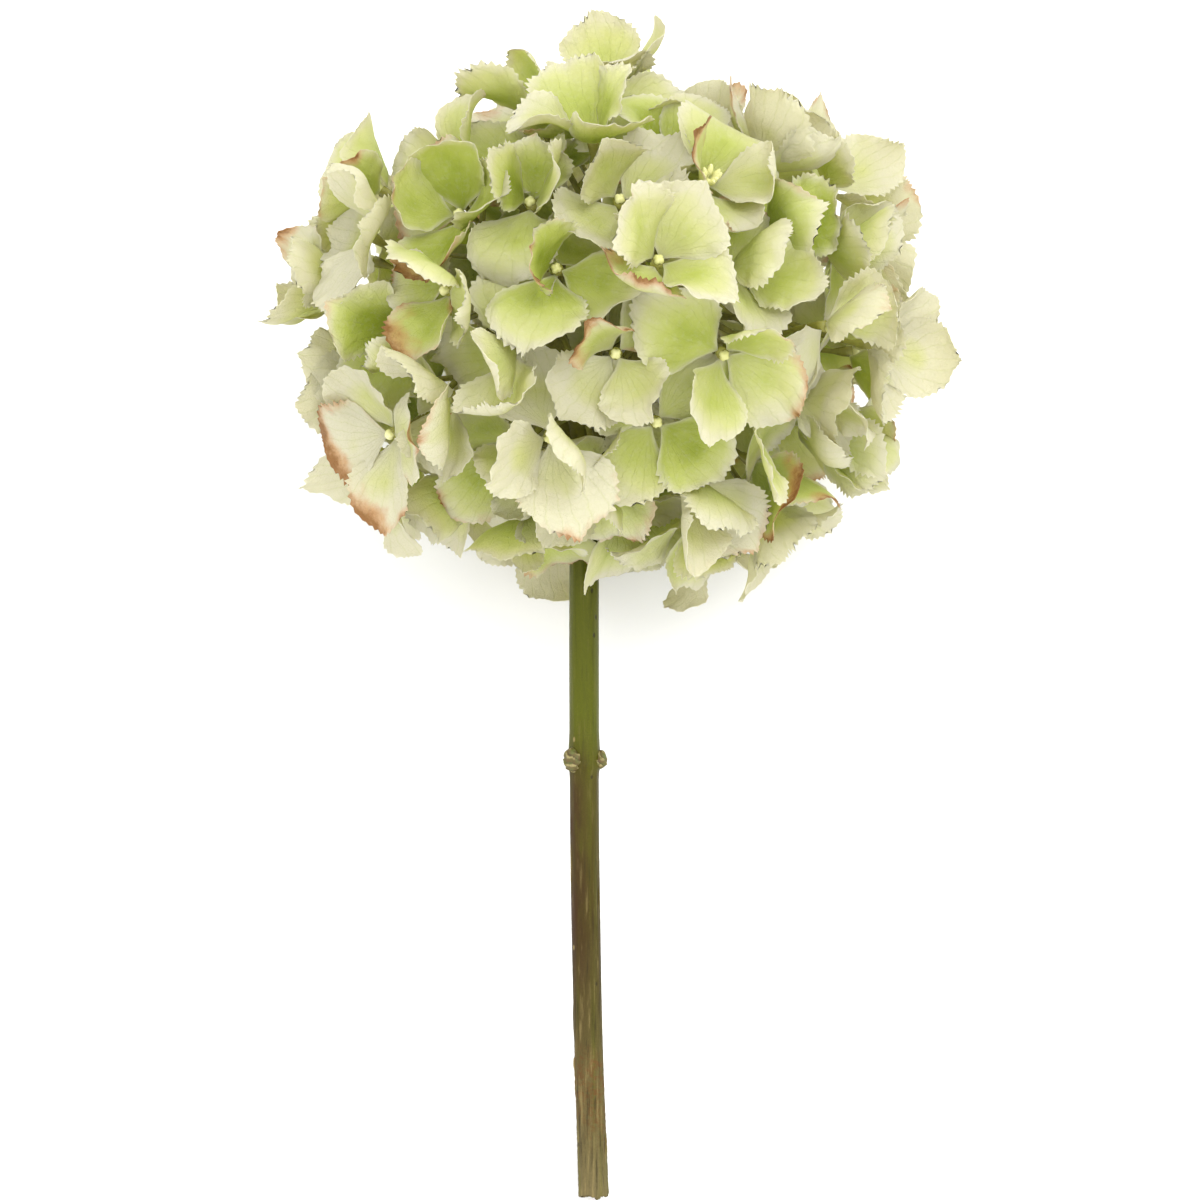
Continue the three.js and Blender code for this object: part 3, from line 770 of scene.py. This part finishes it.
def swell(share):
    # even along the stalk, widening into the seat
    seat = smooth(*stalk["seatFrom"], share) * (stalk["seatRadius"] - stalk["radius"])
    return stalk["radius"] * (1 + stalk["rootSwell"] * (1 - share)) + seat


def blushOf(code):
    lucky = chance(code, 42)
    if lucky < petal["plainShare"]:
        return 0
    return between(code, 43, *petal["slightFlush" if lucky < petal["slightShare"] else "fullFlush"])


def openness(floret):
    # the nearest floret to that place that faces up
    place = (floret["centre"] - headCentre) @ axes.T
    away = math.hypot(place[0] - stalk["openAt"][0], place[1] - stalk["openAt"][1])
    return away - place[2] * stalk["openHigh"] - np.dot(floret["axis"], above) * stalk["openFacing"]


def makeFloret(floret, isOpen):
    i, axis = floret["i"], floret["axis"]
    parts = []
    leftward = np.dot(headCentre - floret["centre"], across)
    # the deeper the floret's layer, the greener its petals: painted shade inside the head
    greenness = (between(i, 40, *petal["greenness"]) + floret["layer"] * petal["deepShadeGreen"]
                 + max(0, leftward - petal["leftStart"]) * petal["leftGreen"])
    for k, p in enumerate(floret["petals"]):
        leaf = copyOf(flatPetal, f"petal_{i}_{k}")
        setSpots(leaf.data, petalSpots(p) * mm)
        tone = greenness + between(p["code"], 41, -petal["toneSpread"], petal["toneSpread"])
        values = {"tone": tone, "blush": blushOf(p["code"]), "seed": chance(p["code"], 44)}
        for name, value in values.items():
            giveValues(leaf, name, np.full(len(leaf.data.vertices), value))
        # the back's disc lies one tile to the right of the front's
        parts.append(squeezeMap(leaf, k // 2 * 2, k % 2))

    a, b = florets[i - i % 2], florets[i - i % 2 + 1]
    middle = (a["centre"] + b["centre"]) / 2 - headCentre
    fork = headCentre + middle * head["forkShare"]
    root = headCentre + middle * (head["forkRootShare"] - head["rootOverlap"])
    neck = floret["centre"] - axis * stalk["neck"]
    start = root if i % 2 == 0 else fork
    rod = copyOf(flatStalk, f"stalk_{i}")
    seat = floret["centre"] + axis * stalk["seatHeight"]
    bendRod(rod, (start, fork, (fork + neck) / 2, neck, seat), swell)
    parts.append(squeezeMap(rod, 4, 0))

    diagonal = turnAbout(floret["first"], axis, math.pi / 4)
    eyeSpot = floret["centre"] + axis * stalk["eyeHeight"]
    bead = copyOf(flatEye, f"eye_{i}")
    standAt(bead, flatEye, eyeSpot, axis, diagonal, stalk["eyeRadius"])
    parts.append(squeezeMap(bead, 4, 1))
    for n in range(stalk["stamens"] if isOpen else 0):
        lean = unit(axis + sideways(axis) * between(n, 71, *stalk["stamenLean"]))
        lean = turnAbout(lean, axis, n * stalk["stamenTurn"])
        club = copyOf(flatStamen, f"stamen_{n}")
        standAt(club, flatStamen, eyeSpot, lean, sideways(lean), between(n, 72, *stalk["stamenSize"]))
        parts.append(squeezeMap(club, 4, 1))

    deselect()
    for part in parts:
        part.select_set(True)
    bpy.context.view_layer.objects.active = parts[0]
    bpy.ops.object.join()
    piece = bpy.context.object
    piece.name = piece.data.name = f"floret_{i + 1:02d}"
    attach(piece, "root")
    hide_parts(f"floret_pair_{i // 2 + 1:02d}")


openFloret = min(florets, key=openness)
for floret in florets:
    makeFloret(floret, floret is openFloret)
for spare in (flatPetal, flatStalk, flatEye, flatStamen):
    bpy.data.objects.remove(spare)
print("florets made:", len(florets))


# the branching rays that carry the florets
ray = {"voxel": 0.0005, "smoothing": 4, "merge": 0.000001}


def makeRay(number):
    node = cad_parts[f"ray_{number}"]
    piece = copyOf(node, f"rayWood_{number}")
    piece.parent = None
    mergeSpots(piece, ray["merge"])
    remesh = piece.modifiers.new("skin", "REMESH")
    remesh.mode, remesh.voxel_size, remesh.use_smooth_shade = "VOXEL", ray["voxel"], True
    bpy.ops.object.modifier_apply(modifier="skin")
    even = piece.modifiers.new("even", "SMOOTH")
    even.factor, even.iterations = 0.5, ray["smoothing"]
    bpy.ops.object.modifier_apply(modifier="even")
    piece.data.materials.clear()
    piece.data.materials.append(raySkin)
    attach(piece, "root")
    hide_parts(f"ray_{number}")


rayCount = len([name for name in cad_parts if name.startswith("ray_")])
for number in range(1, rayCount + 1):
    makeRay(number)
print("rays made:", rayCount)


# the stem: green at the head, brown and barky below its buds, cut off rough
stem = {
    "sides": 64, "rows": 340, "topRows": 3, "cutRows": 9, "ridge": 0.06, "bark": 0.05,
    # depths below the head's centre and radii there, as the frame turns them
    "depths": (31.6, 34.16, 38, 43.8, 54, 112, 119, 125, 179.5, 215, 238, 240),
    "radii": (2.88, 5.44, 6.4, 4.54, 4.05, 4.05, 4.4, 4.0, 3.93, 3.97, 4.1, 4.22),
    # flaked places: depth, angle in degrees, half-length, half-angle, lift in mm
    "flakes": ((150, 163, 8, 9, 0.32), (138, 158, 3, 6, 0.22), (204, 176, 2, 9, 0.5), (209, 172, 4, 7, 0.35),
               (192, 178, 5, 6, 0.2), (158, 20, 2.5, 7, 0.25), (226, 12, 3, 8, 0.3), (171, 250, 7, 10, 0.3)),
    "wander": 0.35, "wanderBeat": 0.4, "merge": 0.000002, "leastHeight": 0.02,
    # depths where the bark starts and is full, where the torn end starts, and of the leaf scar's ring
    "barkFrom": (196, 214), "tornFrom": (236, 240), "scarDepth": 121.5, "scarHeight": 0.28, "scarWidth": 1.1,
    "torn": 0.36, "shreds": 0.4, "pithSink": 2.2,
}
stemFinish = {
    "young": shade(63, 64, 3), "bright": shade(76, 80, 6), "node": shade(67, 60, 7),
    "brown": shade(60, 49, 11), "grey": shade(84, 75, 40), "cut": shade(104, 93, 60),
    "red": shade(54, 30, 13), "dark": shade(30, 24, 10), "sliver": shade(136, 120, 76),
    "rust": shade(92, 63, 30), "roughness": 0.52, "specular": 0.14,
    # sizes of the patterns, from broad patches to fine grain
    "patches": 240, "bands": 460, "specks": 620, "streaks": 1100, "fine": 2600, "pores": 230,
    "bump": 0.55, "bumpDepth": 0.0004,
}


def makeStemMaterial():
    material, tree = newMaterial("stemSkin")
    look = stemFinish

    def times(a, b):
        return maths(tree, "MULTIPLY", a, b)

    down, brownSide, lift = (attribute(tree, name) for name in ("down", "brownSide", "lift"))
    # turned so that Y runs along the stem
    where = add(tree, "Mapping", {"Vector": add(tree, "TexCoord").outputs["Object"],
                                  "Rotation": (-lieAngle, 0, 0)}).outputs[0]
    long = add(tree, "Mapping", {"Vector": where, "Scale": (1, 0.07, 1)}).outputs[0]
    longer = add(tree, "Mapping", {"Vector": where, "Scale": (1, 0.025, 1)}).outputs[0]
    drawn = add(tree, "Mapping", {"Vector": where, "Scale": (1, 0.3, 1)}).outputs[0]
    patches = noise(tree, drawn, look["patches"], 4.0)
    streaks = noise(tree, long, look["streaks"], 4.0, 0.6)
    bands = noise(tree, longer, look["bands"], 3.0, 0.5)
    fine = noise(tree, where, look["fine"], 3.0)

    shifted = maths(tree, "ADD", down, times(maths(tree, "SUBTRACT", patches, 0.5), 0.14))
    body = ramp(tree, shifted, ((0.0, look["young"]), (0.44, look["bright"]), (0.53, look["node"]),
                                (0.7, look["brown"]), (0.86, look["grey"]), (1.0, look["cut"])))
    body = blend(tree, spread(tree, bands, 0.42, 0.7, 0.0, 0.4), body, look["bright"])
    # one rusty, finely mottled patch near the cut
    specks = noise(tree, where, look["specks"], 5.0, 0.75)
    rusty = times(spread(tree, shifted, 0.82, 0.86), spread(tree, shifted, 0.95, 0.9))
    body = blend(tree, times(rusty, spread(tree, specks, 0.36, 0.7)), body, look["rust"])
    lower = spread(tree, down, 0.47, 0.56)
    redder = times(lower, times(spread(tree, brownSide, 0.1, 0.9), spread(tree, down, 0.62, 0.9, 1.0, 0.15)))
    body = blend(tree, times(redder, spread(tree, patches, 0.3, 0.6, 0.35, 0.85)), body, look["red"])
    furrow = times(spread(tree, streaks, 0.5, 0.72), spread(tree, down, 0.45, 0.95, 0.25, 0.7))
    body = blend(tree, furrow, body, look["dark"])
    fibre = times(spread(tree, streaks, 0.46, 0.3), spread(tree, down, 0.45, 0.95, 0.12, 0.5))
    body = blend(tree, fibre, body, look["sliver"])

    # breathing pores: small dark specks, and a few pale ones
    drawn = add(tree, "Mapping", {"Vector": where, "Scale": (1, 0.6, 1)}).outputs[0]
    pores = add(tree, "TexVoronoi", {"Vector": drawn, "Scale": look["pores"], "Randomness": 1.0})
    picked = add(tree, "SeparateColor", {0: pores.outputs["Color"]})
    spot = spread(tree, pores.outputs["Distance"], 0.07, 0.14, 1.0, 0.0)
    dark = times(spot, maths(tree, "GREATER_THAN", picked.outputs[0], 0.62))
    palePores = times(spot, maths(tree, "GREATER_THAN", picked.outputs[1], 0.86))
    body = blend(tree, times(dark, 0.7), body, look["dark"])
    body = blend(tree, times(palePores, 0.8), body, look["sliver"])
    body = blend(tree, spread(tree, lift, 0.1, 0.3), body, look["sliver"])
    # the sunk furrow beside each flake is darkened: painted shade in the crack
    body = blend(tree, spread(tree, lift, -0.06, -0.3), body, look["dark"])
    body = blend(tree, 0.22, body, grey(tree, fine), "OVERLAY")

    coarse = spread(tree, down, 0.5, 1.0, 0.25, 1.0)
    pitted = maths(tree, "ADD", times(fine, 0.3), times(dark, -0.5))
    height = maths(tree, "ADD", times(streaks, coarse), pitted)
    bump = bumps(tree, look, height)
    rough = spread(tree, down, 0.4, 0.9, look["roughness"] - 0.08, look["roughness"] + 0.2)
    skin = add(tree, "BsdfPrincipled", {"Base Color": body, "Roughness": rough, "Normal": bump,
                                        "Specular IOR Level": look["specular"]})
    add(tree, "OutputMaterial", {"Surface": skin.outputs[0]})
    return material


def wavesRound(angle, depth, seed, counts, size):
    total = 0
    for n in counts:
        drift = between(seed + n, 1, -0.02, 0.02)
        beat = 0.6 + 0.4 * np.sin(depth * between(seed + n, 2, 0.03, 0.12) + between(seed + n, 3, 0, 6.28))
        total = total + size * between(seed + n, 4, 0.5, 1) * beat * np.sin(
            n * angle + depth * drift + between(seed + n, 5, 0, 6.28))
    return total


def makeStem():
    deselect()
    bpy.ops.mesh.primitive_grid_add(x_subdivisions=stem["sides"], y_subdivisions=stem["rows"], size=2)
    piece = bpy.context.object
    spots = spotsOf(piece.data)
    angle = (spots[:, 0] + 0.5) * math.pi
    row = np.round((spots[:, 1] + 1) / 2 * stem["rows"]).astype(int)
    top, last = stem["depths"][0], stem["depths"][-1]
    capStart = stem["rows"] - stem["cutRows"]
    depth = top + (last - top) * np.clip((row - stem["topRows"]) / (capStart - stem["topRows"]), 0, 1)
    radius = np.interp(depth, stem["depths"], stem["radii"])
    lift = 0
    degrees = np.degrees(angle) % 360
    for at, turn, halfLong, halfTurn, high in stem["flakes"]:
        aside = ((degrees - turn + 180) % 360 - 180) / halfTurn
        aside = aside + stem["wander"] * np.sin(depth * stem["wanderBeat"] + at)
        ends = np.exp(-((depth - at) / halfLong) ** 6)
        # the raised flake and the furrow beside it
        edge = np.exp(-(aside * 1.4) ** 2) - 1.2 * np.exp(-((aside - 1) * 1.6) ** 2)
        lift = lift + high * ends * edge
    barky = smooth(*stem["barkFrom"], depth)
    wild = chances(row, np.round(degrees)) - 0.5
    radius = radius + wavesRound(angle, depth, 500, (2, 3, 5, 8, 11), stem["ridge"]) + lift
    radius = radius + wild * (0.03 + stem["bark"] * 2 * barky)
    # a raised ring where the leaves sat
    fromScar = (depth - stem["scarDepth"] - 0.5 * np.sin(2 * angle)) / stem["scarWidth"]
    radius = radius + stem["scarHeight"] * np.exp(-fromScar ** 2)
    # the ends close over: smooth at the top, torn fibres and a sunk pith at the cut
    into = np.clip((row - capStart) / stem["cutRows"], 0, 1)
    cutEnd = np.interp(into, (0, 0.12, 1), (1, 0.95, 0))
    closing = np.where(row < stem["topRows"], row / stem["topRows"], cutEnd)
    torn = wavesRound(angle, 0, 600, (2, 3, 5, 7, 13), stem["torn"]) + wild * stem["shreds"]
    depth = depth + smooth(*stem["tornFrom"], depth) * torn * (0.4 + 0.6 * np.minimum(1, into * 6 + 0.4))
    depth = depth - np.where(into > 0.7, (into - 0.7) * stem["pithSink"], 0)
    depth = depth + np.where((into > 0) & (into < 0.5), wild * 0.5, 0)
    radius = np.maximum(0, radius * closing)
    centre = np.array([stemSpot(d) for d in depth])
    middle = centre + radius[:, None] * (np.cos(angle)[:, None] * across + np.sin(angle)[:, None] * above)
    middle[:, 2] = np.maximum(middle[:, 2], stem["leastHeight"])
    setSpots(piece.data, middle * mm)
    giveValues(piece, "down", depth / last)
    giveValues(piece, "lift", lift)
    giveValues(piece, "brownSide", 0.5 - 0.5 * np.cos(angle))
    piece.data.uv_layers[0].name = "OFBake"
    mergeSpots(piece, stem["merge"])
    piece.data.shade_smooth()
    piece.data.materials.append(makeStemMaterial())
    piece.name = "stemWood"
    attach(piece, "root")
    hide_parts("stem")


makeStem()
print("stem made")

# the two shrivelled buds at the node
bud = {
    "depth": 120, "length": 7, "width": 2.5, "scales": 3.1, "slant": 0.8, "waver": 0.16,
    "scaleLift": 0.7, "lean": 0.3,
    # which side, how far round to the front in degrees, how far out, size
    "places": {"bud_left": (-1, 42, 4.0, 1.0), "bud_right": (1, 8, 4.3, 0.78)},
}
budFinish = {
    "green": shade(84, 92, 32), "tan": shade(148, 138, 86), "brown": shade(92, 58, 28),
    "dark": shade(44, 32, 16),
    "patches": 700, "fine": 2800, "bump": 0.5, "bumpDepth": 0.0003, "roughness": 0.6,
}


def makeBudMaterial():
    material, tree = newMaterial("budSkin")
    where = add(tree, "TexCoord").outputs["Object"]
    look = budFinish
    step = attribute(tree, "step")
    patches = noise(tree, where, look["patches"], 4.0, 0.6)
    fine = noise(tree, where, look["fine"], 3.0)
    body = ramp(tree, patches, ((0.32, look["green"]), (0.72, look["brown"])))
    edge = maths(tree, "ADD", step, maths(tree, "MULTIPLY", maths(tree, "SUBTRACT", patches, 0.5), 1.9))
    # each scale is dried pale at its edge, and its root, tucked under the scale above, is darkened as
    # painted shade
    body = blend(tree, spread(tree, edge, 0.62, 1.05, 0.0, 0.85), body, look["tan"])
    body = blend(tree, spread(tree, step, 0.2, 0.0, 0.0, 0.85), body, look["dark"])
    bump = bumps(tree, look, fine)
    skin = add(tree, "BsdfPrincipled", {"Base Color": body, "Roughness": look["roughness"], "Normal": bump})
    add(tree, "OutputMaterial", {"Surface": skin.outputs[0]})
    return material


def makeBud(name, material):
    side, turn, away, size = bud["places"][name]
    deselect()
    bpy.ops.mesh.primitive_uv_sphere_add(segments=36, ring_count=40, radius=1)
    piece = bpy.context.object
    spots = spotsOf(piece.data)
    height = (spots[:, 2] + 1) / 2
    around = np.arctan2(spots[:, 1], spots[:, 0])
    # overlapping scales: each grows outward to its edge, then drops to the next
    wavy = bud["slant"] * np.sin(around + side) + bud["waver"] * np.sin(4 * around + 1)
    step = height * bud["scales"] + wavy
    step = step - np.floor(step)
    lumps = 1 + 0.12 * np.sin(3 * around + height * 5) + 0.08 * np.sin(5 * around - height * 9)
    full = np.hypot(spots[:, 0], spots[:, 1])
    out = full * (lumps * (1 - 0.25 * height) + bud["scaleLift"] / bud["width"] * step)
    local = np.stack((out * np.cos(around) * bud["width"], out * np.sin(around) * bud["width"],
                      (height - 0.5) * bud["length"]), 1) * size
    turn = math.radians(turn)
    outward = across * side * math.cos(turn) + above * math.sin(turn)
    tilt = unit(along + outward * bud["lean"])
    first = unit(outward - tilt * np.dot(outward, tilt))
    centre = stemSpot(bud["depth"]) + outward * away
    setSpots(piece.data, (centre + local @ np.array((first, np.cross(tilt, first), tilt))) * mm)
    giveValues(piece, "step", step)
    piece.data.shade_smooth()
    piece.data.materials.append(material)
    piece.name = name.replace("bud", "budScales")
    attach(piece, "root")
    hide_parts(name)


budSkin = makeBudMaterial()
for name in bud["places"]:
    makeBud(name, budSkin)
print("buds made")

# floor, light and camera
studio = {
    "floor": 3.0, "paper": 0.9, "lens": 110, "sensor": 36, "frameWidth": 331, "aimAlong": -76.0,
    "aimAcross": -1.6, "skyLight": 1.66, "lampDistance": 1000,
    # name, direction from the head across, along and above the stem, size, power
    "lamps": (("key", 0.3, 0.4, 1.0, 0.7, 5.4), ("fill", -0.5, -0.4, 1.0, 0.9, 1.6),
              ("crown", 0.5, 1.0, 0.4, 0.7, 1.4)),
}


def makeStudio():
    deselect()
    bpy.ops.mesh.primitive_plane_add(size=studio["floor"], location=(0, 0, 0))
    floor = bpy.context.object
    floor.name = "floor"
    material, tree = newMaterial("floorPaper")
    white = studio["paper"]
    paper = add(tree, "BsdfPrincipled", {"Base Color": (white, white, white, 1), "Roughness": 0.9})
    add(tree, "OutputMaterial", {"Surface": paper.outputs[0]})
    floor.data.materials.append(material)

    world = bpy.data.worlds.new("studio")
    bpy.context.scene.world = world
    world.use_nodes = True
    sky = world.node_tree.nodes["Background"]
    sky.inputs["Color"].default_value = (1, 1, 1, 1)
    sky.inputs["Strength"].default_value = studio["skyLight"]

    aim = headCentre + across * studio["aimAcross"] + along * studio["aimAlong"]
    distance = studio["frameWidth"] * studio["lens"] / studio["sensor"]
    for name, x, y, z, size, power in studio["lamps"]:
        place = (headCentre + (x * across + y * along + z * above) * studio["lampDistance"]) * mm
        bpy.ops.object.light_add(type="AREA", location=place)
        lamp = bpy.context.object
        lamp.name = name
        lamp.data.size = size
        lamp.data.energy = power
        lamp.rotation_euler = (Vector(headCentre * mm) - Vector(place)).to_track_quat("-Z", "Y").to_euler()
    place = (aim + above * distance) * mm
    bpy.ops.object.camera_add(location=place)
    camera = bpy.context.object
    camera.rotation_euler = (lieAngle, 0, 0)
    camera.data.lens = studio["lens"]
    camera.data.sensor_width = studio["sensor"]
    camera.data.clip_start = 0.01
    bpy.context.scene.camera = camera
    bpy.context.scene.view_settings.view_transform = "Standard"


makeStudio()
print("studio ready")
